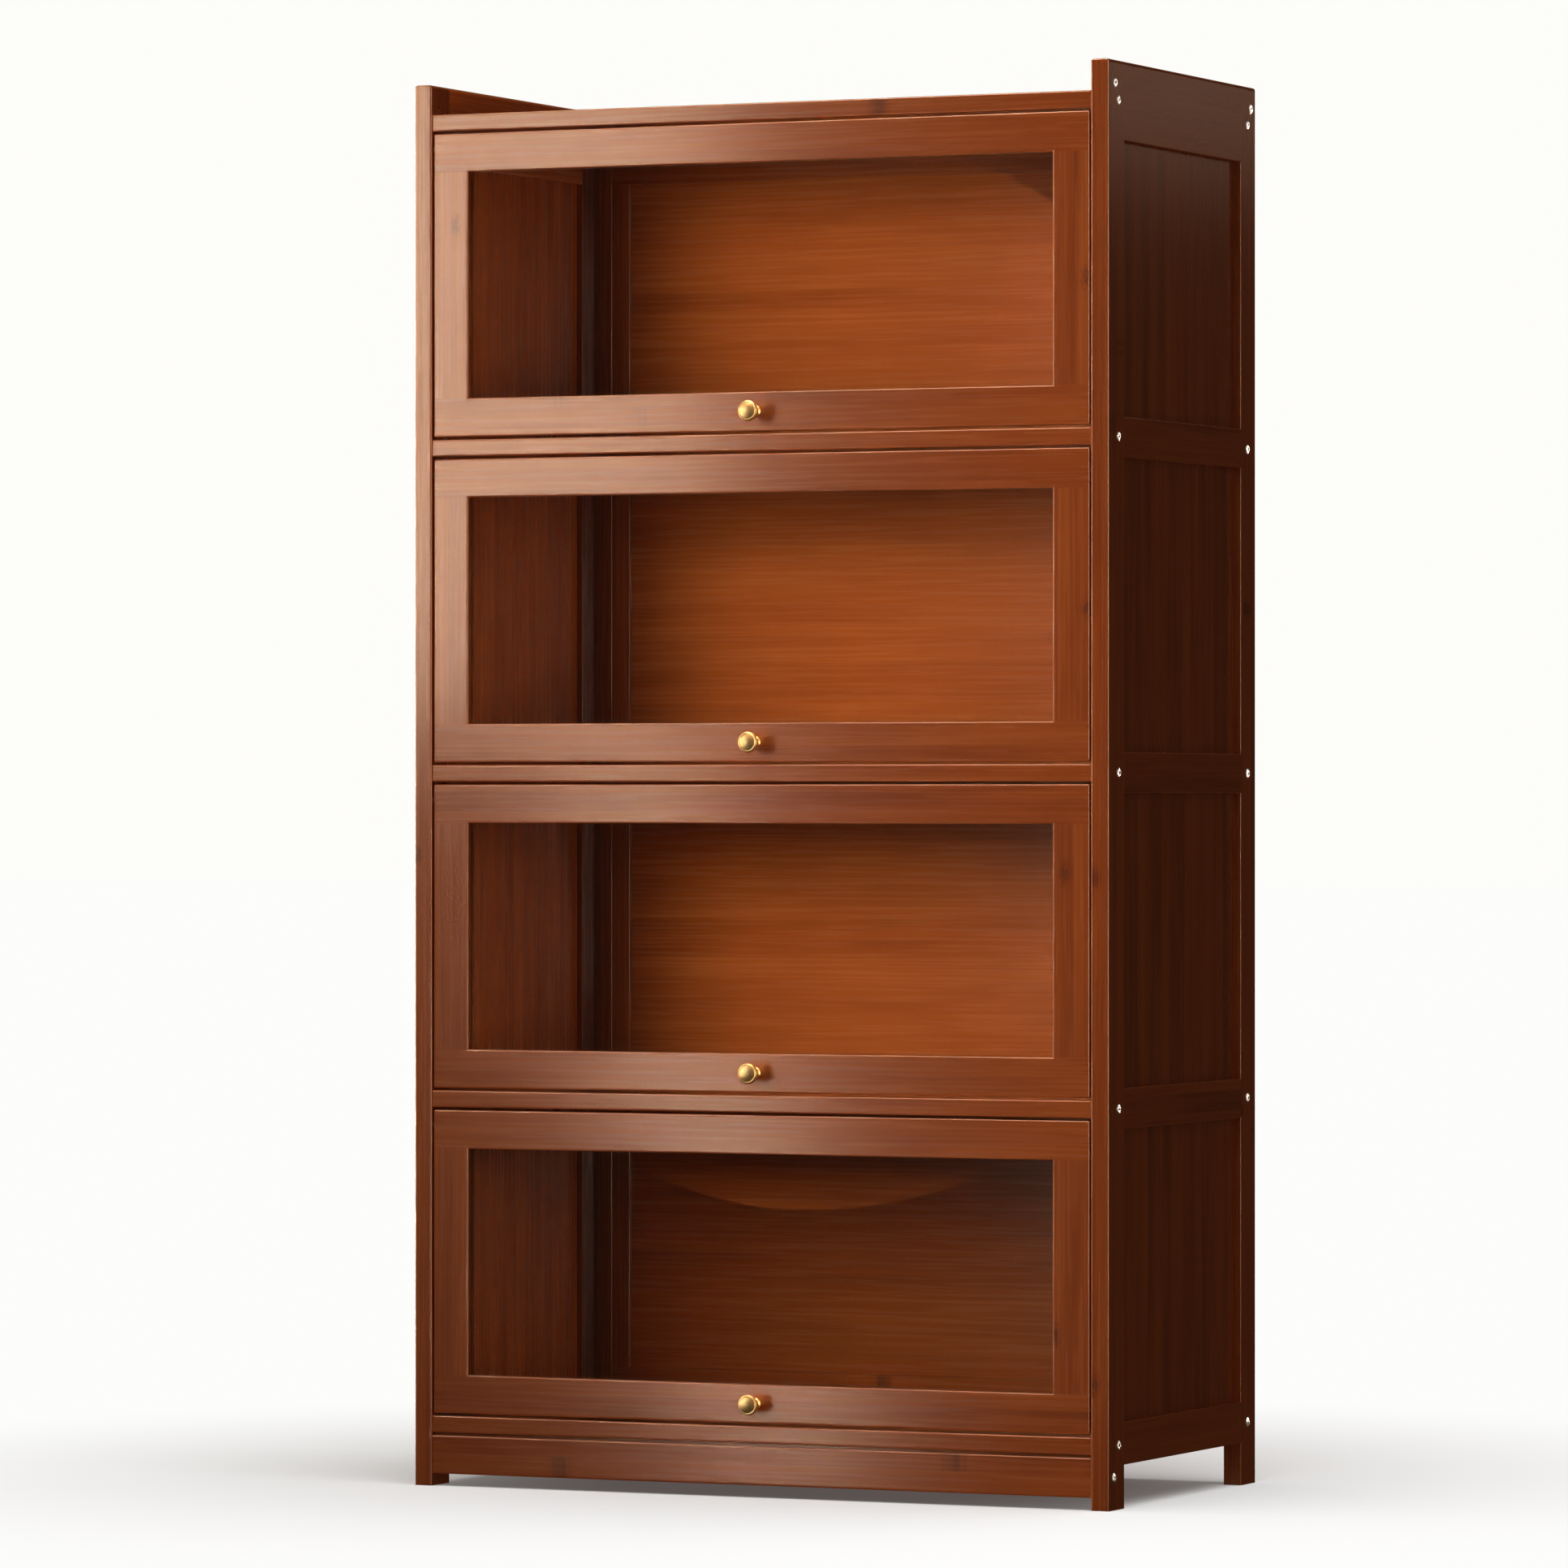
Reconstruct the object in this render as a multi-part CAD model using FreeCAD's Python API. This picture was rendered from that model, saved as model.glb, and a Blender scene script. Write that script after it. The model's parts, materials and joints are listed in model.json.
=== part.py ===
"""Barrister bookcase: a bamboo frame-and-panel case with four glazed flip-up doors.

Millimetres. +X runs along the width, +Y from front to back and +Z up. The origin is the
centre of the footprint, knobs included, on the floor. Each door turns on two runner pins
in its top rail, and their rollers slide back in grooves just under the board above.
"""
import FreeCAD, Part
import math
import os

V = FreeCAD.Vector

# Driving dimensions
WIDTH = 800.0  # outer faces of the posts
HEIGHT = 1490.0
DEPTH = 407.0  # front of the posts to their backs
BAYS = 4
PITCH = 345.75  # from one shelf to the next
BOTTOM_BOARD_TOP = 75.0
BOARD = 18.0  # thickness of the shelves and boards
EASE = 2.0  # rounding of the frame's edges

# Posts and side frames
POST = 20.0  # thickness across the width
POST_DEPTH = 42.0
TOP_RADIUS = 4.0  # rounding along the top of a side
WINDOW_EASE = 1.0  # rounding round a side panel
SIDE_TOP_RAIL = 82.0
SIDE_RAIL = 42.0
SIDE_BOTTOM_RAIL = 44.0
SIDE_RAIL_FOOT = 45.0  # clear height under the lowest side rail
PANEL = 6.0
PANEL_INSET = 7.0  # from the outer face to the side panels
TONGUE = 6.0  # how far a panel enters its frame

# Boards and back
FRONT_SETBACK = 1.0  # boards and doors stand this far behind the posts
PLINTH = 41.0
PLINTH_GAP = 3.0  # height of the shadow groove above it
PLINTH_GAP_DEPTH = 7.0
PLINTH_THICK = 20.0
BACK_FRAME = 13.5
BACK_STRIP = 22.0  # width of a cleat and of a stile
BACK_PANEL = 5.0
BACK_PANEL_INSET = 4.0
BACK_TOP_RAIL = 32.0
BACK_BOTTOM_RAIL = 59.0

# Doors
DOOR_THICK = 18.0
DOOR_SIDE_GAP = 2.0
DOOR_GAP = 2.75  # above and below
DOOR_FRAME = 41.0  # height of a rail and width of a stile
PANE = 4.0
STUB = 12.0  # length of the stiles' stub tenons
STUB_WIDTH = 16.0
STUB_THICK = 6.0

# Runner pins and their grooves
PIN_DROP = 16.0  # from the door's top edge down to the pins
PIN_DEPTH = 8.0  # from the door's front face back to the pins
PIN_RADIUS = 2.5
PIN_CLEARANCE = 0.05
PIN_LENGTH = 24.0  # inside the rail
ROLLER_RADIUS = 4.0
ROLLER_LENGTH = 4.4
ROLLER_END_GAP = 0.6
GROOVE_CLEARANCE = 0.2
GROOVE_DEPTH = 5.5
RUNNER = 7.0  # thickness of a runner strip
RUNNER_HEIGHT = 15.0
TRAVEL = 256.0  # how far an opened door slides back

# Knobs
KNOB_PROJECTION = 23.0  # from the face of the door
KNOB_HEAD_RADIUS = 10.9
KNOB_NECK_RADIUS = 4.2
KNOB_ROSE_RADIUS = 6.2
KNOB_BORE = 2.0
KNOB_SCREW_HEAD = 4.5
KNOB_SCREW_REACH = 10.0  # into the knob

# Fasteners
BOLT_RADIUS = 3.0
BOLT_HEAD_RADIUS = 5.0
BOLT_HEAD = 4.0
BOLT_PROUD = 1.0
BOLT_SOCKET = 2.3  # radius across the corners
BOLT_REACH = 36.0  # from the outer face to the barrel nut's axis
BOLT_LENGTH = 42.0
BARREL_RADIUS = 5.0
BARREL_LENGTH = 13.0
SCREW_RADIUS = 1.75
SCREW_HEAD_RADIUS = 3.75
SCREW_LENGTH = 32.0
SCREWS_PER_BOARD = 4

# Places that follow from them
HALF = WIDTH / 2
FRONT = (KNOB_PROJECTION - FRONT_SETBACK - DEPTH) / 2
BACK = FRONT + DEPTH
INNER = HALF - POST
BACK_FACE = BACK - BACK_FRAME
BOARD_FRONT = FRONT + FRONT_SETBACK
BOARD_TOPS = [BOTTOM_BOARD_TOP + PITCH * n for n in range(BAYS + 1)]
TOP_BOARD_TOP = BOARD_TOPS[-1]
DOOR_WIDTH = 2 * (INNER - DOOR_SIDE_GAP)
DOOR_HEIGHT = PITCH - BOARD - 2 * DOOR_GAP
PIN_Y = BOARD_FRONT + PIN_DEPTH
SIDE_FRONT = FRONT + POST_DEPTH
SIDE_BACK = BACK - POST_DEPTH
BOLT_ROW_FRONT = FRONT + 27.0
BOLT_ROW_BACK = BACK - 23.0
UPPER_BOLT_FRONT = FRONT + 17.5
UPPER_BOLT_BACK = BACK - 13.5
UPPER_BOLT_Z = HEIGHT - 23.5
PLINTH_BOLT_FRONT = FRONT + 14.0


def save(node, shapes):
    """Write one node, made of one solid or of a list of them."""
    solids = shapes if isinstance(shapes, list) else [shapes]
    shape = solids[0] if len(solids) == 1 else Part.makeCompound(solids)
    shape.exportStep(f"parts/{node}.step")


def box(x, y, z):
    """A plain box between three pairs of limits."""
    (x0, x1), (y0, y1), (z0, z1) = (sorted(pair) for pair in (x, y, z))
    return Part.makeBox(x1 - x0, y1 - y0, z1 - z0, V(x0, y0, z0))


def eased(x, y, z, radius=EASE, along="xyz"):
    """A box whose edges along the named axes are rounded."""
    solid = box(x, y, z)
    axes = {"x": V(1, 0, 0), "y": V(0, 1, 0), "z": V(0, 0, 1)}
    wanted = [axes[name] for name in along]

    def runs_along(edge):
        line = edge.Vertexes[1].Point.sub(edge.Vertexes[0].Point).normalize()
        return any(abs(line.dot(axis)) > 0.99 for axis in wanted)

    return solid.makeFillet(radius, [edge for edge in solid.Edges if runs_along(edge)])


def cylinder(radius, start, end):
    """A round bar from one point to another."""
    line = end.sub(start)
    return Part.makeCylinder(radius, line.Length, start, line)


def turned(profile, start, axis):
    """A solid of revolution: (radius, distance along the axis) points from start."""
    across = V(0, 0, 1) if abs(axis.z) < 0.5 else V(1, 0, 0)
    points = [start + across * r + axis * s for r, s in profile]
    wire = Part.makePolygon(points + [points[0]])
    return Part.Face(wire).revolve(start, axis, 360)


def without(solid, tools):
    """The solid with each tool cut away."""
    for tool in tools:
        solid = solid.cut(tool)
    return solid


def framed(solid, windows, radius, thickness):
    """The solid with windows cut through its thickness, and their outlines rounded."""
    solid = without(solid, windows)

    def is_outline(edge):
        if not any(rim.BoundBox.isInside(edge.CenterOfMass) for rim in rims):
            return False
        line = edge.Vertexes[1].Point.sub(edge.Vertexes[0].Point).normalize()
        return abs(line.dot(thickness)) < 0.5

    rims = [grown(window) for window in windows]
    return solid.makeFillet(radius, [edge for edge in solid.Edges if is_outline(edge)])


def grown(solid):
    """A box a hair larger than the solid's own limits."""
    limits = solid.BoundBox
    limits.enlarge(0.01)
    size = (limits.XLength, limits.YLength, limits.ZLength)
    return Part.makeBox(*size, V(limits.XMin, limits.YMin, limits.ZMin))


def side_span(side, near, far):
    """X limits between two distances in from the outer face; side is -1 or 1."""
    return (side * (HALF - near), side * (HALF - far))


# Side frames

def rail_levels():
    """Bottom and top of each side rail, from the floor up."""
    levels = [(SIDE_RAIL_FOOT, SIDE_RAIL_FOOT + SIDE_BOTTOM_RAIL)]
    for top in BOARD_TOPS[1:-1]:
        middle = top - BOARD / 2
        levels.append((middle - SIDE_RAIL / 2, middle + SIDE_RAIL / 2))
    return levels + [(HEIGHT - SIDE_TOP_RAIL, HEIGHT)]


def side_panels(side):
    """The four thin boards of one side, tongues included."""
    levels = rail_levels()
    panels = []
    for below, above in zip(levels, levels[1:]):
        height = (below[1] - TONGUE, above[0] + TONGUE)
        depth = (SIDE_FRONT - TONGUE, SIDE_BACK + TONGUE)
        panels.append(box(side_span(side, PANEL_INSET, PANEL_INSET + PANEL), depth, height))
    return panels


def pin_height(bay):
    """Height of a bay's runner pins."""
    return BOARD_TOPS[bay + 1] - BOARD - DOOR_GAP - PIN_DROP


def groove(side, bay):
    """The slot that a bay's roller slides in, round at its front end."""
    z = pin_height(bay)
    radius = ROLLER_RADIUS + GROOVE_CLEARANCE
    inner = side * INNER
    bottom = inner + side * GROOVE_DEPTH
    end = PIN_Y + TRAVEL + 2 * ROLLER_RADIUS
    slot = box((inner - side, bottom), (PIN_Y, end), (z - radius, z + radius))
    return slot.fuse(cylinder(radius, V(inner - side, PIN_Y, z), V(bottom, PIN_Y, z)))


def runner_strip(side, bay):
    """A grooved hardwood strip under a side rail, carrying the roller."""
    top = rail_levels()[bay + 1][0]
    end = PIN_Y + TRAVEL + 3 * ROLLER_RADIUS
    strip = box(side_span(side, POST - RUNNER, POST), (SIDE_FRONT, end), (top - RUNNER_HEIGHT, top))
    return strip.cut(groove(side, bay))


def bolt_places():
    """Distance back and height of every frame bolt of one side."""
    places = []
    for top in BOARD_TOPS:
        places += [(BOLT_ROW_FRONT, top - BOARD / 2), (BOLT_ROW_BACK, top - BOARD / 2)]
    places += [(UPPER_BOLT_FRONT, UPPER_BOLT_Z), (UPPER_BOLT_BACK, UPPER_BOLT_Z)]
    return places + [(PLINTH_BOLT_FRONT, plinth_middle())]


def plinth_middle():
    return BOTTOM_BOARD_TOP - BOARD - PLINTH_GAP - PLINTH / 2


def is_upper(z):
    """The upper bolts stop inside the post, in a hole that goes through it."""
    return z > TOP_BOARD_TOP


def bolt_reach(z):
    return POST - BOLT_HEAD if is_upper(z) else BOLT_LENGTH


def bolt(side, y, z):
    """A domed socket-head bolt, its head let into the post."""
    outward = V(side, 0, 0)
    face = V(side * (HALF + BOLT_PROUD), y, z)
    depth = BOLT_HEAD + BOLT_PROUD
    rim = BOLT_HEAD_RADIUS
    crown = [(0, 0), (rim * 0.55, 0), (rim * 0.82, -0.35), (rim * 0.96, -0.9), (rim, -1.6)]
    shank = [(rim, -depth), (BOLT_RADIUS, -depth), (BOLT_RADIUS, -BOLT_PROUD - bolt_reach(z))]
    body = turned(crown + shank + [(0, -BOLT_PROUD - bolt_reach(z))], face, outward)
    corners = [V(0, math.cos(a), math.sin(a)) * BOLT_SOCKET for a in hexagon()]
    wire = Part.makePolygon([face + outward + c for c in corners + corners[:1]])
    return body.cut(Part.Face(wire).extrude(outward * -(BOLT_HEAD * 0.75 + 1)))


def hexagon():
    return [math.radians(60 * n) for n in range(6)]


def bolt_hole(side, y, z):
    """The stepped hole that a bolt fills."""
    start = V(side * (HALF + 1), y, z)
    head_end = V(side * (HALF - BOLT_HEAD), y, z)
    reach = POST + 1 if is_upper(z) else bolt_reach(z)
    end = V(side * (HALF - reach), y, z)
    return cylinder(BOLT_HEAD_RADIUS, start, head_end).fuse(cylinder(BOLT_RADIUS, start, end))


def barrel_place(side, y, z):
    """Bottom centre of the barrel nut that a bolt screws into."""
    return V(side * (HALF - BOLT_REACH), y, z - BARREL_LENGTH + BOLT_RADIUS + 1.5)


def barrel_nut(side, y, z):
    bottom = barrel_place(side, y, z)
    nut = cylinder(BARREL_RADIUS, bottom, bottom + V(0, 0, BARREL_LENGTH))
    return nut.cut(bolt_hole(side, y, z))


def barrel_hole(side, y, z):
    """Drilled up from below, as deep as the nut's top."""
    bottom = barrel_place(side, y, z)
    return cylinder(BARREL_RADIUS, bottom - V(0, 0, BOARD + PLINTH), bottom + V(0, 0, BARREL_LENGTH))


def all_bolt_holes():
    return [bolt_hole(side, y, z) for side in (-1, 1) for y, z in bolt_places()]


def side_frame(side):
    """Posts and rails of one side in one piece, before it is split at the joints."""
    thick = side_span(side, 0, POST)
    depth = (FRONT, BACK)
    upright = eased(thick, depth, (0, HEIGHT), EASE, "z")
    crown = eased(thick, depth, (-POST, HEIGHT), TOP_RADIUS, "y")
    ends = eased(thick, depth, (0, HEIGHT), EASE, "x")
    solid = upright.common(crown).common(ends)
    levels = rail_levels()
    spans = [(low[1], high[0]) for low, high in zip(levels, levels[1:])]
    spans.append((-POST, SIDE_RAIL_FOOT))
    through = side_span(side, -1, POST + 1)
    windows = [box(through, (SIDE_FRONT, SIDE_BACK), span) for span in spans]
    return framed(solid, windows, WINDOW_EASE, V(1, 0, 0))


def make_side(name, side):
    """One side frame: two posts, its rails, panels and runner strips."""
    panels = side_panels(side)
    tools = [bolt_hole(side, y, z) for y, z in bolt_places()]
    tools += [groove(side, bay) for bay in range(BAYS)] + panels
    frame = without(side_frame(side), tools)
    through = side_span(side, -1, POST + 1)
    posts = {"front": (FRONT, SIDE_FRONT), "rear": (SIDE_BACK, BACK)}
    for place, depth in posts.items():
        save(f"{name}_{place}_post", frame.common(box(through, depth, (-1, HEIGHT + 1))))
    rails = [frame.common(box(through, (SIDE_FRONT, SIDE_BACK), level)) for level in rail_levels()]
    save(f"{name}_side_bottom_rail", rails[0])
    save(f"{name}_side_middle_rails", rails[1:-1])
    save(f"{name}_side_top_rail", rails[-1])
    save(f"{name}_side_panels", panels)
    save(f"{name}_door_runners", [runner_strip(side, bay) for bay in range(BAYS - 1)])


# Boards and back

def back_levels():
    """Bottom and top of each rail of the back frame."""
    under_top = TOP_BOARD_TOP - BOARD
    levels = [(SIDE_RAIL_FOOT, SIDE_RAIL_FOOT + BACK_BOTTOM_RAIL)]
    levels += rail_levels()[1:-1]
    return levels + [(under_top - BACK_TOP_RAIL, under_top)]


def back_panels():
    """Four thin boards let into the back frame."""
    front = BACK_FACE + BACK_PANEL_INSET
    edge = INNER - 2 * BACK_STRIP + TONGUE
    levels = back_levels()
    spans = [(low[1] - TONGUE, high[0] + TONGUE) for low, high in zip(levels, levels[1:])]
    return [box((-edge, edge), (front, front + BACK_PANEL), span) for span in spans]


def screw_places():
    """Across and up: a row of screws through the back frame into each board."""
    step = 2 * (INNER - 60.0) / (SCREWS_PER_BOARD - 1)
    across = [-(INNER - 60.0) + step * n for n in range(SCREWS_PER_BOARD)]
    return [(x, top - BOARD / 2) for top in BOARD_TOPS[:-1] for x in across]


def back_screw(x, z):
    """A countersunk wood screw, its head flush with the back."""
    head = [(0, 0), (SCREW_HEAD_RADIUS, 0), (SCREW_RADIUS, -2.2)]
    tip = [(SCREW_RADIUS, 4 - SCREW_LENGTH), (0, -SCREW_LENGTH)]
    return turned(head + tip, V(x, BACK, z), V(0, 1, 0))


def cross_drive(x, z):
    """The cross cut in a screw head."""
    cuts = [box((x - a, x + a), (BACK - 1.4, BACK + 1), (z - b, z + b)) for a, b in ((2, 0.4), (0.4, 2))]
    return cuts[0].fuse(cuts[1])


def make_boards():
    holes = all_bolt_holes()
    barrels = [barrel_hole(side, y, z) for side in (-1, 1) for y, z in bolt_places() if not is_upper(z)]
    screws = [back_screw(x, z) for x, z in screw_places()]
    names = ["bottom_board", "lower_shelf", "middle_shelf", "upper_shelf", "top_board"]
    for name, top in zip(names, BOARD_TOPS):
        back = BACK if name == "top_board" else BACK_FACE
        board = eased((-INNER, INNER), (BOARD_FRONT, back), (top - BOARD, top), EASE, "xz")
        near = [h for h in holes + barrels + screws if h.BoundBox.intersect(board.BoundBox)]
        save(name, without(board, near))
    middle = plinth_middle()
    span = (middle - PLINTH / 2, middle + PLINTH / 2)
    plinth = eased((-INNER, INNER), (BOARD_FRONT, BOARD_FRONT + PLINTH_THICK), span, EASE, "xz")
    lip = (BOARD_FRONT + PLINTH_GAP_DEPTH, BOARD_FRONT + PLINTH_THICK - EASE)
    plinth = plinth.fuse(box((-INNER, INNER), lip, (middle, BOTTOM_BOARD_TOP - BOARD))).removeSplitter()
    save("plinth_board", without(plinth, holes + barrels))


def make_back():
    panels = back_panels()
    screws = [back_screw(x, z) for x, z in screw_places()]
    levels = back_levels()
    depth = (BACK_FACE, BACK)
    for name, side in (("left", -1), ("right", 1)):
        outer, middle = side * INNER, side * (INNER - BACK_STRIP)
        inner = side * (INNER - 2 * BACK_STRIP)
        cleat = eased((outer, middle), depth, (levels[0][0], levels[-1][1]), EASE / 2, "z")
        save(f"back_{name}_cleat", cleat)
        stiles = [
            without(eased((middle, inner), depth, (low[1], high[0]), EASE / 2, "z"), panels)
            for low, high in zip(levels, levels[1:])
        ]
        save(f"back_{name}_stiles", stiles)
    edge = INNER - BACK_STRIP
    rails = [without(eased((-edge, edge), depth, level, EASE / 2, "x"), panels + screws) for level in levels]
    save("back_bottom_rail", rails[0])
    save("back_middle_rails", rails[1:-1])
    save("back_top_rail", rails[-1])
    save("back_panels", panels)
    save("back_screws", [back_screw(x, z).cut(cross_drive(x, z)) for x, z in screw_places()])


def make_fasteners():
    save("frame_bolts", [bolt(side, y, z) for side in (-1, 1) for y, z in bolt_places()])
    places = [(side, y, z) for side in (-1, 1) for y, z in bolt_places() if not is_upper(z)]
    save("barrel_nuts", [barrel_nut(*place) for place in places])


# Doors

def runner_pin(side, bay):
    """A pin in the rail's end with its roller outside, in the groove."""
    z = pin_height(bay)
    outward = V(side, 0, 0)
    reach = INNER + GROOVE_DEPTH - ROLLER_END_GAP
    end = V(side * reach, PIN_Y, z)
    edge = 0.5
    shoulder = ROLLER_LENGTH
    root = reach - INNER + DOOR_SIDE_GAP + PIN_LENGTH
    roller = [(0, 0), (ROLLER_RADIUS - edge, 0), (ROLLER_RADIUS, -edge), (ROLLER_RADIUS, -shoulder)]
    shank = [(PIN_RADIUS, -shoulder), (PIN_RADIUS, -root), (0, -root)]
    return turned(roller + shank, end, outward)


def pin_bore(side, bay):
    z = pin_height(bay)
    edge = DOOR_WIDTH / 2
    start = V(side * (edge + 1), PIN_Y, z)
    end = V(side * (edge - PIN_LENGTH - 1), PIN_Y, z)
    return cylinder(PIN_RADIUS + PIN_CLEARANCE, start, end)


def knob_profile():
    """Rose, neck and domed head, from the door's face outwards."""
    head, neck, rose = KNOB_HEAD_RADIUS, KNOB_NECK_RADIUS, KNOB_ROSE_RADIUS
    out = KNOB_PROJECTION
    foot = [(0, 0), (rose, 0), (rose, 1.6), (rose - 1.2, 2.8), (neck + 0.4, 3.6)]
    waist = [(neck, 5.0), (neck, out - 13.5), (neck + 0.9, out - 11.6), (neck + 2.8, out - 10.0)]
    under = [(head - 2.6, out - 8.2), (head - 0.8, out - 6.8), (head, out - 5.0), (head, out - 3.6)]
    rim = [(head - 0.5, out - 2.4), (head - 1.5, out - 1.7), (head - 2.4, out - 1.9)]
    return foot + waist + under + rim


def knob(z):
    """A turned brass knob with a slightly domed face inside its rim."""
    start = V(0, BOARD_FRONT, z)
    out = V(0, -1, 0)
    points = [start + V(0, 0, r) + out * s for r, s in knob_profile()]
    wire = [Part.LineSegment(a, b).toShape() for a, b in zip(points, points[1:])]
    rim = knob_profile()[-1]
    rise = KNOB_PROJECTION - rim[1]
    dome = (rim[0] ** 2 + rise ** 2) / (2 * rise)
    half = math.asin(rim[0] / dome) / 2
    centre = KNOB_PROJECTION - dome
    middle = (dome * math.sin(half), centre + dome * math.cos(half))
    crown = [start + V(0, 0, r) + out * s for r, s in (rim, middle, (0, KNOB_PROJECTION))]
    wire.append(Part.Arc(*crown).toShape())
    wire.append(Part.LineSegment(crown[-1], points[0]).toShape())
    solid = Part.Face(Part.Wire(wire)).revolve(start, out, 360)
    return solid.cut(cylinder(KNOB_BORE, start - out, start + out * KNOB_SCREW_REACH))


def knob_screw(z):
    """A pan-head screw from the back of the rail into the knob."""
    back = V(0, BOARD_FRONT + DOOR_THICK, z)
    head = [(0, 2.4), (KNOB_SCREW_HEAD * 0.6, 2.2), (KNOB_SCREW_HEAD, 1.2), (KNOB_SCREW_HEAD, 0)]
    length = DOOR_THICK + KNOB_SCREW_REACH
    shank = [(KNOB_BORE, 0), (KNOB_BORE, -length), (0, -length)]
    screw = turned(head + shank, back, V(0, 1, 0))
    slot = box((-KNOB_SCREW_HEAD, KNOB_SCREW_HEAD), (back.y + 1.2, back.y + 3), (z - 0.5, z + 0.5))
    return screw.cut(slot)


def door_frame(depth, height):
    """Rails and stiles of a door in one piece, before it is split at the joints."""
    edge = DOOR_WIDTH / 2
    solid = eased((-edge, edge), depth, height)
    window = box(
        (DOOR_FRAME - edge, edge - DOOR_FRAME),
        (depth[0] - 1, depth[1] + 1),
        (height[0] + DOOR_FRAME, height[1] - DOOR_FRAME),
    )
    return framed(solid, [window], EASE, V(0, 1, 0))


def make_door(bay):
    """One glazed door: rails across, stiles between them, pane in a groove."""
    name = f"door_{bay + 1}"
    low = BOARD_TOPS[bay] + DOOR_GAP
    high = low + DOOR_HEIGHT
    edge = DOOR_WIDTH / 2
    depth = (BOARD_FRONT, BOARD_FRONT + DOOR_THICK)
    middle = BOARD_FRONT + DOOR_THICK / 2
    inside = (low + DOOR_FRAME, high - DOOR_FRAME)
    open_half = edge - DOOR_FRAME
    glass = (middle - PANE / 2, middle + PANE / 2)
    pane = box((-open_half - TONGUE, open_half + TONGUE), glass, (inside[0] - TONGUE, inside[1] + TONGUE))
    frame = door_frame(depth, (low, high)).cut(pane)
    stubs = []
    stiles = []
    for side in (-1, 1):
        centre = side * (edge - DOOR_FRAME / 2)
        across = (centre - STUB_WIDTH / 2, centre + STUB_WIDTH / 2)
        through = (middle - STUB_THICK / 2, middle + STUB_THICK / 2)
        stub = box(across, through, (inside[0] - STUB, inside[1] + STUB))
        stubs.append(stub)
        stiles.append(frame.common(box((side * open_half, side * (edge + 1)), depth, inside)).fuse(stub))
    bores = [pin_bore(side, bay) for side in (-1, 1)]
    knob_z = low + DOOR_FRAME / 2
    shank = cylinder(KNOB_BORE, V(0, BOARD_FRONT - 1, knob_z), V(0, BOARD_FRONT + DOOR_THICK + 1, knob_z))
    top = frame.common(box((-edge, edge), depth, (inside[1], high)))
    bottom = frame.common(box((-edge, edge), depth, (low, inside[0])))
    save(f"{name}_top_rail", without(top, stubs + bores))
    save(f"{name}_bottom_rail", without(bottom, stubs + [shank]))
    save(f"{name}_stiles", stiles)
    save(f"{name}_pane", pane)
    save(f"{name}_knob", knob(knob_z))
    save(f"{name}_knob_screw", knob_screw(knob_z))
    save(f"{name}_runner_pins", [runner_pin(side, bay) for side in (-1, 1)])


os.makedirs("parts", exist_ok=True)
make_side("left", -1)
make_side("right", 1)
make_boards()
make_back()
make_fasteners()
for bay in range(BAYS):
    make_door(bay)
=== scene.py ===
"""The looks of the bamboo barrister bookcase: materials, studio light and camera.

Everything is in metres in the CAD frame: +X right, +Y from front to back, +Z up.
"""
import json
import math

import bmesh
import bpy
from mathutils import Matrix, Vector


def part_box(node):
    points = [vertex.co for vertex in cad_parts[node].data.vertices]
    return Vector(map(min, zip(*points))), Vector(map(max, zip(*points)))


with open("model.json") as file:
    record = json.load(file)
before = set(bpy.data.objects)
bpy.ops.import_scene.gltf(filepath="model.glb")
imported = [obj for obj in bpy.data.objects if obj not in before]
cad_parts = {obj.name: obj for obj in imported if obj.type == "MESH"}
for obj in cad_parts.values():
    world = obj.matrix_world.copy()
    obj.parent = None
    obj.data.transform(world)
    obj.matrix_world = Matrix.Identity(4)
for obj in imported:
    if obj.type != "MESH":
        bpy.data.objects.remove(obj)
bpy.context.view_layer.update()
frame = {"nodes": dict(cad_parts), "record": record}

NODES = frame["nodes"]
SLOTS = {part["node"]: part["material_slot"] for part in frame["record"]["subparts"]}
POST_LOW, POST_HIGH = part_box("right_front_post")
FRONT = POST_LOW.y
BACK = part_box("right_rear_post")[1].y
HEIGHT = POST_HIGH.z
HALF_WIDTH = POST_HIGH.x
BOTTOM_LOW, BOTTOM_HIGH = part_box("bottom_board")
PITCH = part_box("lower_shelf")[1].z - BOTTOM_HIGH.z

# Camera: level, and turned to look at the front and the right side
CAMERA_TURN = math.radians(24.8655)
CAMERA_ASIDE = 3.3376  # from the right front post's outer corner
CAMERA_AHEAD = 7.9929
CAMERA_HEIGHT = 0.7303
CAMERA_SENSOR = 36.0
CAMERA_LENS = 193.9
CAMERA_SHIFT = 0.00962
CAMERA_CLIP = 200.0

# Bamboo: one glued strip, its fibres and its knuckles
STRIP = 0.0215
SEAM = 0.035  # share of a strip's width
BROAD_STREAK = (0.42, 0.016, 2.0)  # length, width and detail
MEDIUM_STREAK = (0.16, 0.0036, 3.0)
FINE_STREAK = (0.055, 0.0011, 2.0)
KNUCKLE_SPACING = 0.26
KNUCKLE_LENGTH = 0.013
KNUCKLE_WIDTH = 0.0075
KNUCKLE_STAIN = (0.075, 0.010, 0.004)

# linear colours of the palest and the darkest fibres
FRAME_COLOURS = ((0.400, 0.086, 0.013), (0.210, 0.032, 0.004))
BACK_COLOURS = ((0.520, 0.125, 0.022), (0.290, 0.052, 0.007))
SIDE_COLOURS = ((0.380, 0.080, 0.011), (0.190, 0.028, 0.003))

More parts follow.
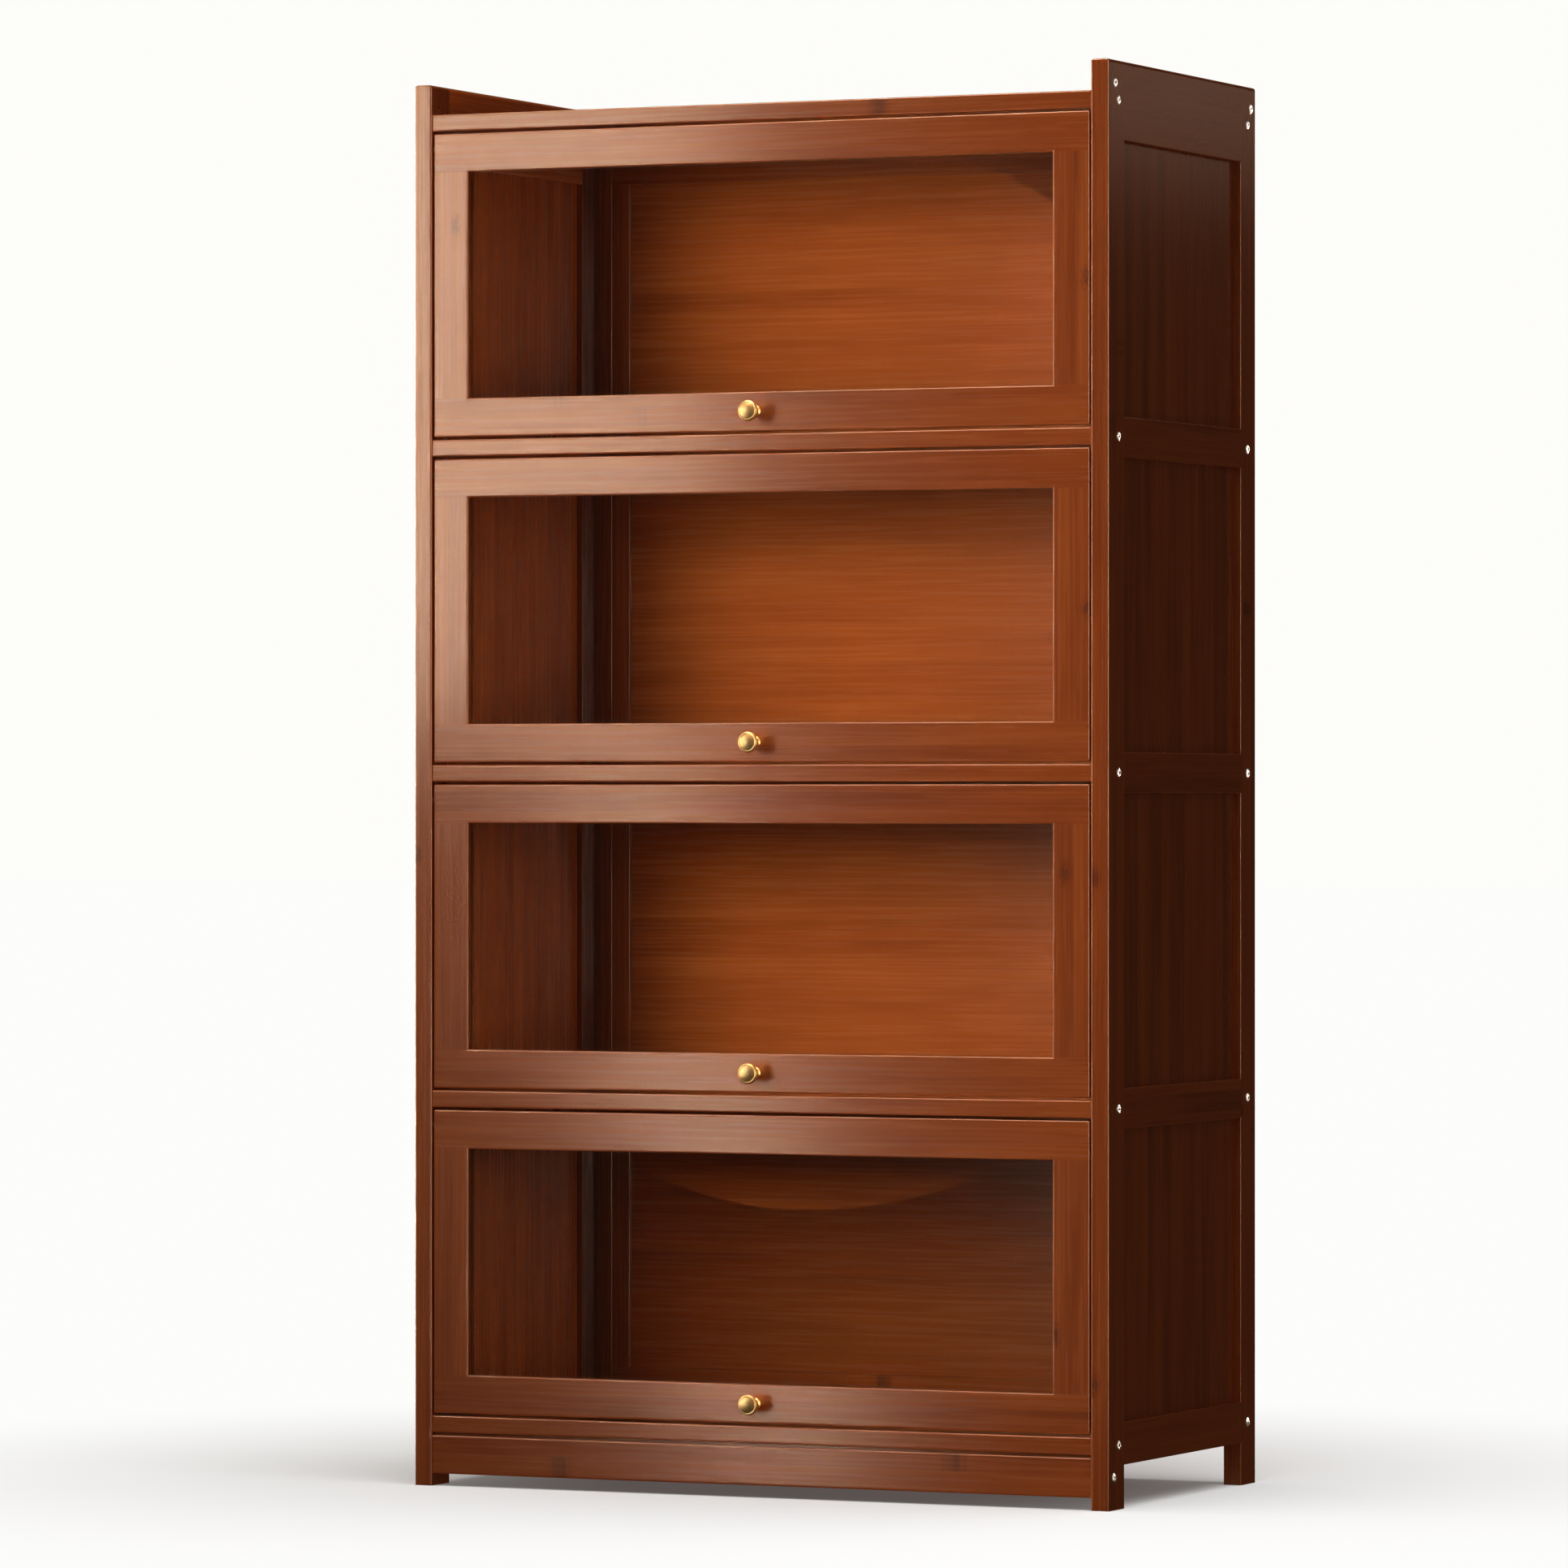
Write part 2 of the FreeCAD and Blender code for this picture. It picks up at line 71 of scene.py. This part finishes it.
# contrast of the fibres, and the share of the strips' cells that hold a knuckle
FRAME_FIGURE = (1.15, 0.12)
BACK_FIGURE = (1.1, 0.015)
SIDE_FIGURE = (1.2, 0.02)

# Floor
FLOOR_REACH = 60.0
FADE_START = 0.20  # from the middle of the bookcase
FADE_END = 1.4
LEAST_GLOW = 0.08

# Lights
UPRIGHT = math.radians(90.0)
BEAM = math.radians(46.0)
DAYLIGHT = (1.0, 0.98, 0.94)
WHITE = (1.0, 1.0, 1.0)
WARM = (1.0, 0.68, 0.45)
CARD_AHEAD = 1.0  # from the doors' face to the cards that they mirror


class Tree:
    """Short calls for laying out one material's nodes."""

    def __init__(self, name):
        self.material = bpy.data.materials.new(name)
        self.material.use_nodes = True
        self.tree = self.material.node_tree
        self.tree.nodes.clear()

    def node(self, kind, inputs=None, **settings):
        made = self.tree.nodes.new("ShaderNode" + kind)
        for key, value in settings.items():
            setattr(made, key, value)
        for key, value in (inputs or {}).items():
            self.feed(made.inputs[key], value)
        return made

    def feed(self, socket, value):
        if isinstance(value, bpy.types.NodeSocket):
            self.tree.links.new(value, socket)
        else:
            socket.default_value = value

    def math(self, operation, *values):
        made = self.node("Math", operation=operation)
        for socket, value in zip(made.inputs, values):
            self.feed(socket, value)
        return made.outputs[0]

    def vector(self, x, y, z):
        return self.node("CombineXYZ", {"X": x, "Y": y, "Z": z}).outputs[0]

    def noise(self, vector, detail=2.0, roughness=0.5, distortion=0.0):
        inputs = {
            "Vector": vector, "Scale": 1.0, "Detail": detail,
            "Roughness": roughness, "Distortion": distortion,
        }
        return self.node("TexNoise", inputs).outputs["Fac"]

    def random(self, vector):
        return self.node("TexWhiteNoise", {"Vector": vector}, noise_dimensions="3D").outputs["Value"]

    def step(self, value, low, high):
        """0 below low and 1 above high, or the other way round where low is above high."""
        inputs = {"Value": value, "From Min": low, "From Max": high}
        return self.node("MapRange", inputs, interpolation_type="SMOOTHSTEP").outputs["Result"]

    def scaled(self, vector, factors):
        return self.node("VectorMath", {0: vector, 1: factors}, operation="MULTIPLY").outputs[0]

    def length(self, first, second):
        squares = [self.math("POWER", value, 2.0) for value in (first, second)]
        return self.math("SQRT", self.math("ADD", *squares))

    def mix(self, factor, first, second, blend="MIX"):
        made = self.node("Mix", data_type="RGBA", blend_type=blend)
        for socket, value in ((0, factor), (6, first), (7, second)):
            self.feed(made.inputs[socket], value)
        return made.outputs[2]

    def bumped(self, height, strength, distance):
        inputs = {"Strength": strength, "Distance": distance, "Height": height}
        return self.node("Bump", inputs).outputs["Normal"]

    def finish(self, shader):
        output = self.node("OutputMaterial")
        self.tree.links.new(shader, output.inputs["Surface"])
        return self.material


def rgb(red, green, blue):
    return (red, green, blue, 1.0)


# Materials

def board_number(t, axes, grain, paired):
    """A number of its own for each board, also where several boards are one node."""
    board = t.math("MULTIPLY", t.node("ObjectInfo").outputs["Random"], 57.0)
    start = (BOTTOM_LOW.z + BOTTOM_HIGH.z) / 2 if grain == "Z" else 0.0
    bay = t.math("FLOOR", t.math("DIVIDE", t.math("SUBTRACT", axes[2], start), PITCH))
    if grain == "Z" and paired:
        board = t.math("MULTIPLY_ADD", bay, 3.7, board)
    if paired:
        board = t.math("MULTIPLY_ADD", t.math("GREATER_THAN", axes[0], 0.0), 11.3, board)
    if grain == "Y":
        board = t.math("MULTIPLY_ADD", bay, 5.1, board)
    return board


def knuckle_mask(t, along, first, across, board, other, share):
    """Now and then a lens in the middle of a strip, with a swirl in it."""
    swirl_place = t.vector(t.math("MULTIPLY", along, 190.0), t.math("MULTIPLY", first, 330.0), board)
    swirl = t.noise(swirl_place, 3.0, 0.6, 0.8)
    count = t.math("ADD", t.math("DIVIDE", along, KNUCKLE_SPACING), t.math("MULTIPLY", other, 7.0))

    def from_middle(value, size):
        return t.math("MULTIPLY", t.math("SUBTRACT", 0.5, t.math("PINGPONG", value, 0.5)), size)

    near = t.math("DIVIDE", from_middle(count, KNUCKLE_SPACING), KNUCKLE_LENGTH)
    beside = t.math("DIVIDE", from_middle(across, STRIP), KNUCKLE_WIDTH)
    oval = t.math("MULTIPLY_ADD", t.math("SUBTRACT", swirl, 0.5), 2.6, t.length(near, beside))
    cell = t.vector(t.math("FLOOR", count), t.math("FLOOR", across), board)
    chosen = t.math("LESS_THAN", t.random(cell), share)
    return t.math("MULTIPLY", t.step(oval, 1.25, 0.05), chosen)


def edge_wear_and_highlight_mask(t, medium):
    """Where an edge is eased, paled partly by rubbed wear and partly by a painted highlight: only there
    does no axis face the surface.
    """
    facing = t.node("SeparateXYZ", {"Vector": t.node("TexCoord").outputs["Normal"]}).outputs
    sizes = [t.math("ABSOLUTE", value) for value in facing]
    square = t.math("MAXIMUM", t.math("MAXIMUM", sizes[0], sizes[1]), sizes[2])
    return t.math("MULTIPLY", t.step(square, 0.985, 0.80), t.step(medium, 0.22, 0.55))


def fibre_ramp(t, tone, light, dark):
    """The stain's colour, from the darkest fibres to the palest."""
    ramp = t.node("ValToRGB", {"Fac": tone})
    points = ramp.color_ramp.elements
    middle = [(a + b) / 2 * s for a, b, s in zip(light, dark, (1.04, 0.98, 0.92))]
    points[0].position, points[0].color = 0.08, rgb(*dark)
    points[1].position, points[1].color = 0.92, rgb(*light)
    points.new(0.5).color = rgb(*middle)
    return ramp.outputs["Color"]


def bamboo(name, grain, colours, figure, paired):
    """Stained, varnished strip bamboo with its fibres along the grain axis."""
    light, dark = colours
    contrast, knuckles = figure
    t = Tree(name)
    place = t.node("TexCoord").outputs["Object"]
    axes = t.node("SeparateXYZ", {"Vector": place}).outputs
    along = axes["XYZ".index(grain)]
    first, second = [axes[n] for n in range(3) if "XYZ"[n] != grain]
    board = board_number(t, axes, grain, paired)

    # glued strips, each cut from another culm
    across = t.math("ADD", t.math("DIVIDE", first, STRIP), t.math("MULTIPLY", board, 0.37))
    deep = t.math("ADD", t.math("DIVIDE", second, STRIP), t.math("MULTIPLY", board, 0.61))
    row = t.math("FLOOR", across)
    layer = t.math("FLOOR", deep)
    strip = t.random(t.vector(row, layer, board))
    other = t.random(t.vector(board, row, layer))
    seam = t.step(t.math("PINGPONG", across, 0.5), SEAM, 0.0)

    # fibres: long soft bands, then ever finer streaks
    shift = t.math("MULTIPLY_ADD", strip, 9.0, board)

    def streaks(length, width, detail):
        u = t.math("ADD", t.math("DIVIDE", along, length), shift)
        return t.noise(t.vector(u, t.math("DIVIDE", first, width), t.math("DIVIDE", second, width)), detail)

    broad = streaks(*BROAD_STREAK)
    medium = streaks(*MEDIUM_STREAK)
    fine = streaks(*FINE_STREAK)
    cloud_place = t.vector(
        t.math("MULTIPLY_ADD", along, 5.0, shift), t.math("MULTIPLY", first, 14.0),
        t.math("MULTIPLY", second, 14.0))
    cloud = t.noise(cloud_place, 3.0, 0.6)

    tone = t.math("MULTIPLY_ADD", strip, 0.22 * contrast, 0.5 - 0.11 * contrast)
    for value, share in ((broad, 0.75), (medium, 0.50), (fine, 0.30), (cloud, 0.55)):
        tone = t.math("MULTIPLY_ADD", t.math("SUBTRACT", value, 0.5), share * contrast, tone)
    tone = t.math("SUBTRACT", tone, t.math("MULTIPLY", seam, 0.12))
    knuckle = knuckle_mask(t, along, first, across, board, other, knuckles)
    edge = edge_wear_and_highlight_mask(t, medium)
    # eased edges go paler: partly rubbed varnish wear, partly a painted highlight along the edge
    wear_and_highlight_colour = rgb(*(min(1.0, value * 1.8 + 0.02) for value in light))
    colour = fibre_ramp(t, tone, light, dark)
    colour = t.mix(t.math("MULTIPLY", knuckle, 0.62), colour, rgb(*KNUCKLE_STAIN))
    colour = t.mix(t.math("MULTIPLY", edge, 0.5), colour, wear_and_highlight_colour)

    height = t.math("MULTIPLY_ADD", medium, 0.6, t.math("MULTIPLY", fine, 0.5))
    height = t.math("SUBTRACT", height, t.math("MULTIPLY", seam, 0.5))
    rough = t.math("MULTIPLY_ADD", medium, 0.12, 0.21)
    shader = t.node("BsdfPrincipled", {
        "Base Color": colour, "Roughness": t.math("ADD", rough, t.math("MULTIPLY", edge, 0.08)),
        "Normal": t.bumped(height, 0.35, 0.00022), "Specular IOR Level": 0.35,
        "Coat Weight": 0.8, "Coat Roughness": 0.21, "Coat IOR": 1.5,
    })
    return t.finish(shader.outputs[0])


def clear_pane(name):
    """Clear sheet with a faint film, which lets the light through."""
    t = Tree(name)
    place = t.node("TexCoord").outputs["Object"]
    film = t.noise(t.scaled(place, (3.0, 3.0, 5.0)), 3.0, 0.6)
    glass = t.node("BsdfPrincipled", {
        "Base Color": rgb(0.97, 0.965, 0.95), "Transmission Weight": 1.0, "IOR": 1.46,
        "Specular IOR Level": 0.12, "Roughness": t.math("MULTIPLY_ADD", film, 0.02, 0.0),
        "Coat Weight": 0.7, "Coat Roughness": 0.30, "Coat IOR": 1.5,
    })
    through = t.node("BsdfTransparent", {"Color": rgb(0.95, 0.945, 0.93)})
    shadow = t.node("LightPath").outputs["Is Shadow Ray"]
    mixed = t.node("MixShader", {0: shadow, 1: glass.outputs[0], 2: through.outputs[0]})
    return t.finish(mixed.outputs[0])


def brass(name, knob_height):
    """Satin brass, turned on a lathe: fine rings round the knob's own axis."""
    t = Tree(name)
    place = t.node("TexCoord").outputs["Object"]
    axes = t.node("SeparateXYZ", {"Vector": place}).outputs
    height = t.math("MODULO", t.math("SUBTRACT", axes[2], knob_height), PITCH)
    radius = t.length(axes[0], height)
    turned = t.vector(t.math("MULTIPLY", radius, 2600.0), t.math("MULTIPLY", axes[1], 2600.0), axes[2])
    stain = t.noise(t.scaled(place, (160.0,) * 3), 3.0, 0.6)
    colour = t.mix(t.step(stain, 0.35, 0.75), rgb(0.95, 0.70, 0.31), rgb(0.84, 0.54, 0.20))
    shader = t.node("BsdfPrincipled", {
        "Base Color": colour, "Metallic": 1.0, "Normal": t.bumped(t.noise(turned), 0.25, 0.00006),
        "Roughness": t.math("MULTIPLY_ADD", stain, 0.12, 0.34),
    })
    return t.finish(shader.outputs[0])


def steel(name, colour, scale, rough):
    """Plated or plain steel with fine tool marks."""
    t = Tree(name)
    place = t.node("TexCoord").outputs["Object"]
    marks = t.noise(t.scaled(place, (scale,) * 3), 3.0, 0.65)
    tint = t.mix(t.step(marks, 0.3, 0.8), rgb(*colour), rgb(*(value * 0.72 for value in colour)))
    shader = t.node("BsdfPrincipled", {
        "Base Color": tint, "Metallic": 1.0, "Normal": t.bumped(marks, 0.3, 0.00005),
        "Roughness": t.math("MULTIPLY_ADD", marks, 0.16, rough),
    })
    return t.finish(shader.outputs[0])


def grain_of(node):
    """The axis that a board's fibres follow."""
    upright = ("post", "stile", "cleat", "side_panels")
    if any(word in node for word in upright):
        return "Z"
    return "Y" if "_side_" in node or "runners" in node else "X"


def wooden(node):
    """Name, grain axis, colours, figure and pairing of the bamboo that a wooden node is made of."""
    grain = grain_of(node)
    paired = "stiles" in node or "side_panels" in node
    kind, colours, figure = "frame", FRAME_COLOURS, FRAME_FIGURE
    if node == "back_panels":
        kind, colours, figure = "back", BACK_COLOURS, BACK_FIGURE
    elif SLOTS[node] == "bamboo_panel":
        kind, colours, figure = "side", SIDE_COLOURS, SIDE_FIGURE
    name = f"bamboo_{kind}_{grain.lower()}{'_pair' if paired else ''}"
    return name, grain, colours, figure, paired


def paint():
    """Give every CAD node its finish, with one material for all nodes that share it."""
    knob_low, knob_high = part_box("door_1_knob")
    made = {
        "pane": clear_pane("clear_pane"),
        "knob_brass": brass("satin_brass", (knob_low.z + knob_high.z) / 2),
        "fastener_steel": steel("zinc_plate", (0.80, 0.77, 0.73), 900.0, 0.22),
        "runner_steel": steel("turned_steel", (0.62, 0.61, 0.60), 1300.0, 0.28),
    }
    for name, piece in NODES.items():
        key = SLOTS[name]
        if key not in made:
            key, *settings = wooden(name)
            if key not in made:
                made[key] = bamboo(key, *settings)
        piece.data.materials.clear()
        piece.data.materials.append(made[key])


# Stage

def make_floor():
    """A pale floor that fades to white away from the bookcase."""
    mesh = bpy.data.meshes.new("studio_floor")
    shape = bmesh.new()
    bmesh.ops.create_grid(shape, x_segments=2, y_segments=2, size=FLOOR_REACH)
    shape.to_mesh(mesh)
    shape.free()
    floor = bpy.data.objects.new("studio_floor", mesh)
    bpy.context.scene.collection.objects.link(floor)
    t = Tree("pale_floor")
    place = t.node("TexCoord").outputs["Object"]
    axes = t.node("SeparateXYZ", {"Vector": place}).outputs
    behind = t.math("SUBTRACT", axes[1], (FRONT + BACK) / 2)
    distance = t.length(axes[0], behind)
    matte = t.node("BsdfDiffuse", {"Color": rgb(0.865, 0.875, 0.89)})
    glow = t.node("Emission", {"Color": rgb(0.98, 0.98, 0.965), "Strength": 1.0})
    fade = t.math("MULTIPLY_ADD", t.step(distance, FADE_START, FADE_END), 1 - LEAST_GLOW, LEAST_GLOW)
    mixed = t.node("MixShader", {0: fade, 1: matte.outputs[0], 2: glow.outputs[0]})
    floor.data.materials.append(t.finish(mixed.outputs[0]))
    floor.visible_diffuse = False
    floor.visible_glossy = False
    floor.visible_transmission = False
    floor.visible_shadow = False
    return floor


def make_world():
    """White to the eye, also through a pane; a dim warm fill to everything else."""
    world = bpy.data.worlds.new("studio_world")
    world.use_nodes = True
    nodes, links = world.node_tree.nodes, world.node_tree.links
    nodes.clear()

    def background(colour, strength):
        made = nodes.new("ShaderNodeBackground")
        made.inputs["Color"].default_value = rgb(*colour)
        made.inputs["Strength"].default_value = strength
        return made.outputs[0]

    def mix(factor, first, second):
        made = nodes.new("ShaderNodeMixShader")
        for socket, value in zip(made.inputs, (factor, first, second)):
            links.new(value, socket)
        return made.outputs[0]

    path = nodes.new("ShaderNodeLightPath").outputs
    bounced = nodes.new("ShaderNodeMath")
    bounced.operation = "ADD"
    bounced.use_clamp = True
    links.new(path["Diffuse Depth"], bounced.inputs[0])
    links.new(path["Glossy Depth"], bounced.inputs[1])
    fill = background((1.0, 0.80, 0.58), 0.14)
    mirrored = background((1.0, 0.60, 0.36), 0.025)
    around = mix(path["Is Glossy Ray"], fill, mirrored)
    seen = background((0.985, 0.98, 0.955), 1.0)
    output = nodes.new("ShaderNodeOutputWorld")
    links.new(mix(bounced.outputs[0], seen, around), output.inputs["Surface"])
    bpy.context.scene.world = world


def area_light(name, width, height, radiance, colour, surfaces, reaches):
    """An unseen area light that falls on the diffuse or the glossy side of the given pieces."""
    light = bpy.data.lights.new(name, "AREA")
    light.shape = "RECTANGLE"
    light.size = width
    light.size_y = height
    light.energy = radiance * width * height * math.pi
    light.color = colour
    light.cycles.use_multiple_importance_sampling = False  # the panes pass light only to shadow rays
    lamp = bpy.data.objects.new(name, light)
    bpy.context.scene.collection.objects.link(lamp)
    lamp.visible_camera = False
    lamp.visible_transmission = False
    lamp.visible_diffuse = surfaces == "diffuse"
    lamp.visible_glossy = surfaces == "glossy"
    lamp.light_linking.receiver_collection = reaches
    return lamp


def aim(lamp, bearing, rise, distance, target):
    """Stand a light at a bearing to the left of straight ahead of the doors, facing its target."""
    turn, lift = math.radians(bearing), math.radians(rise)
    away = Vector((-math.sin(turn) * math.cos(lift), -math.cos(turn) * math.cos(lift), math.sin(lift)))
    lamp.location = target + away * distance
    lamp.rotation_euler = (-away).to_track_quat("-Z", "Y").to_euler()


def card(name, x, z, width, height, tilt, radiance, colour, reaches):
    """A glossy card that the front face mirrors to the camera round x, z, this wide and high there."""
    share = CARD_AHEAD / CAMERA_AHEAD
    lamp = area_light(name, width * (1 + share), height * (1 + share), radiance, colour, "glossy", reaches)
    lamp.location = (
        x + (x - HALF_WIDTH - CAMERA_ASIDE) * share, FRONT - CARD_AHEAD, z + (z - CAMERA_HEIGHT) * share)
    lamp.rotation_euler = (UPRIGHT, math.radians(tilt), 0.0)


def receivers(floor):
    """The groups of pieces that lights are limited to."""

    def made_of(*words):
        return [piece for name, piece in NODES.items() if any(word in SLOTS[name] for word in words)]

    def starting(*words):
        return [piece for name, piece in NODES.items() if name.startswith(words)]

    wood = made_of("bamboo", "wood")
    metal = made_of("brass", "steel")
    back = [piece for piece in starting("back_") if piece in wood]
    groups = {
        "solid": wood + metal, "metal": metal, "back": back,
        "outer": [piece for piece in wood if piece not in back],
        "left": starting("left_side", "left_door"), "right": starting("right_"), "floor": [floor],
    }
    made = {}
    for name, pieces in groups.items():
        made[name] = bpy.data.collections.new(f"{name}_pieces")
        for piece in pieces:
            made[name].objects.link(piece)
    return made


def make_diffuse_lights(reach):
    """Soft light on the front, through the panes, from behind, from above and on the floor."""
    middle = Vector((0.0, FRONT, HEIGHT * 0.5))
    key = area_light("key_light", 1.2, 1.5, 0.98, DAYLIGHT, "diffuse", reach["solid"])
    key.data.spread = BEAM
    aim(key, 38.0, 8.0, 4.0, Vector((0.55, FRONT, HEIGHT * 0.67)))
    near = area_light("near_right_light", 0.3, 1.9, 0.75, (1.0, 0.97, 0.92), "diffuse", reach["solid"])
    near.location = (HALF_WIDTH - 0.02, FRONT - 0.6, HEIGHT * 0.5)
    near.rotation_euler = (UPRIGHT, 0.0, 0.0)
    inside = area_light("inside_light", 1.6, 1.3, 1.65, DAYLIGHT, "diffuse", reach["back"])
    inside.data.spread = BEAM
    aim(inside, 10.0, 5.0, 4.0, Vector((-0.17, BACK, HEIGHT * 0.60)))
    aside = area_light("left_inside_light", 0.8, 1.6, 16.5, (1.0, 0.90, 0.80), "diffuse", reach["left"])
    aim(aside, -32.0, 0.0, 4.0, Vector((-HALF_WIDTH, 0.0, HEIGHT * 0.5)))
    behind = area_light("back_light", 2.0, 1.6, 5.0, WHITE, "diffuse", reach["solid"])
    aim(behind, 165.0, 20.0, 4.0, middle)
    above = area_light("top_light", 1.6, 1.0, 4.0, WHITE, "diffuse", reach["solid"])
    aim(above, 15.0, 75.0, 3.0, middle)
    ground = area_light("floor_light", 4.0, 4.0, 2.75, WHITE, "diffuse", reach["floor"])
    aim(ground, -40.0, 72.0, 3.0, Vector((0.0, 0.0, 0.0)))


def make_reflections(reach):
    """Cards that the varnish and the metal mirror, and a sheen on the right side."""
    card("upper_wash", -0.50, 1.26, 0.90, 0.88, 0.0, 7.4, WARM, reach["outer"])
    card("lower_wash", -0.06, 0.40, 0.18, 0.80, -15.0, 6.8, WARM, reach["outer"])
    card("inner_wash", 0.42, 0.90, 0.36, 1.50, 0.0, 6.0, (1.0, 0.84, 0.72), reach["back"])
    # name, width, height, radiance, colour, pieces, bearing and rise
    edge_cards = (
        ("top_edge_card", 2.4, 1.3, 15.0, WARM, "solid", 20.0, 72.0),
        ("left_edge_card", 2.0, 2.2, 12.0, WARM, "solid", 96.0, 5.0),
        ("right_edge_card", 0.8, 2.2, 12.0, WARM, "solid", -66.0, 5.0),
        ("metal_card", 2.6, 2.4, 1.6, (1.0, 0.96, 0.90), "metal", 48.0, 8.0),
        ("bolt_card", 3.0, 2.4, 3.2, (1.0, 0.94, 0.88), "metal", -150.0, 5.0),
    )
    for name, width, height, radiance, colour, pieces, bearing, rise in edge_cards:
        lamp = area_light(name, width, height, radiance, colour, "glossy", reach[pieces])
        aim(lamp, bearing, rise, 3.0, Vector((0.0, FRONT, HEIGHT * 0.5)))
    sheen = area_light("side_sheen", 1.2, 0.4, 0.5, (1.0, 0.62, 0.42), "glossy", reach["right"])
    sheen.location = (HALF_WIDTH + 1.0, 2.4, HEIGHT + 0.3)
    sheen.rotation_euler = (UPRIGHT, 0.0, UPRIGHT)


def make_camera():
    """A level camera far off, in front of the doors and to their right."""
    camera = bpy.data.objects.new("camera", bpy.data.cameras.new("camera"))
    camera.data.sensor_width = CAMERA_SENSOR
    camera.data.lens = CAMERA_LENS
    camera.data.shift_y = CAMERA_SHIFT
    camera.data.clip_end = CAMERA_CLIP
    camera.location = (HALF_WIDTH + CAMERA_ASIDE, FRONT - CAMERA_AHEAD, CAMERA_HEIGHT)
    camera.rotation_euler = (UPRIGHT, 0.0, CAMERA_TURN)
    bpy.context.scene.collection.objects.link(camera)
    bpy.context.scene.camera = camera


paint()
make_world()
pieces_reached = receivers(make_floor())
make_diffuse_lights(pieces_reached)
make_reflections(pieces_reached)
make_camera()
bpy.context.scene.view_settings.view_transform = "Standard"
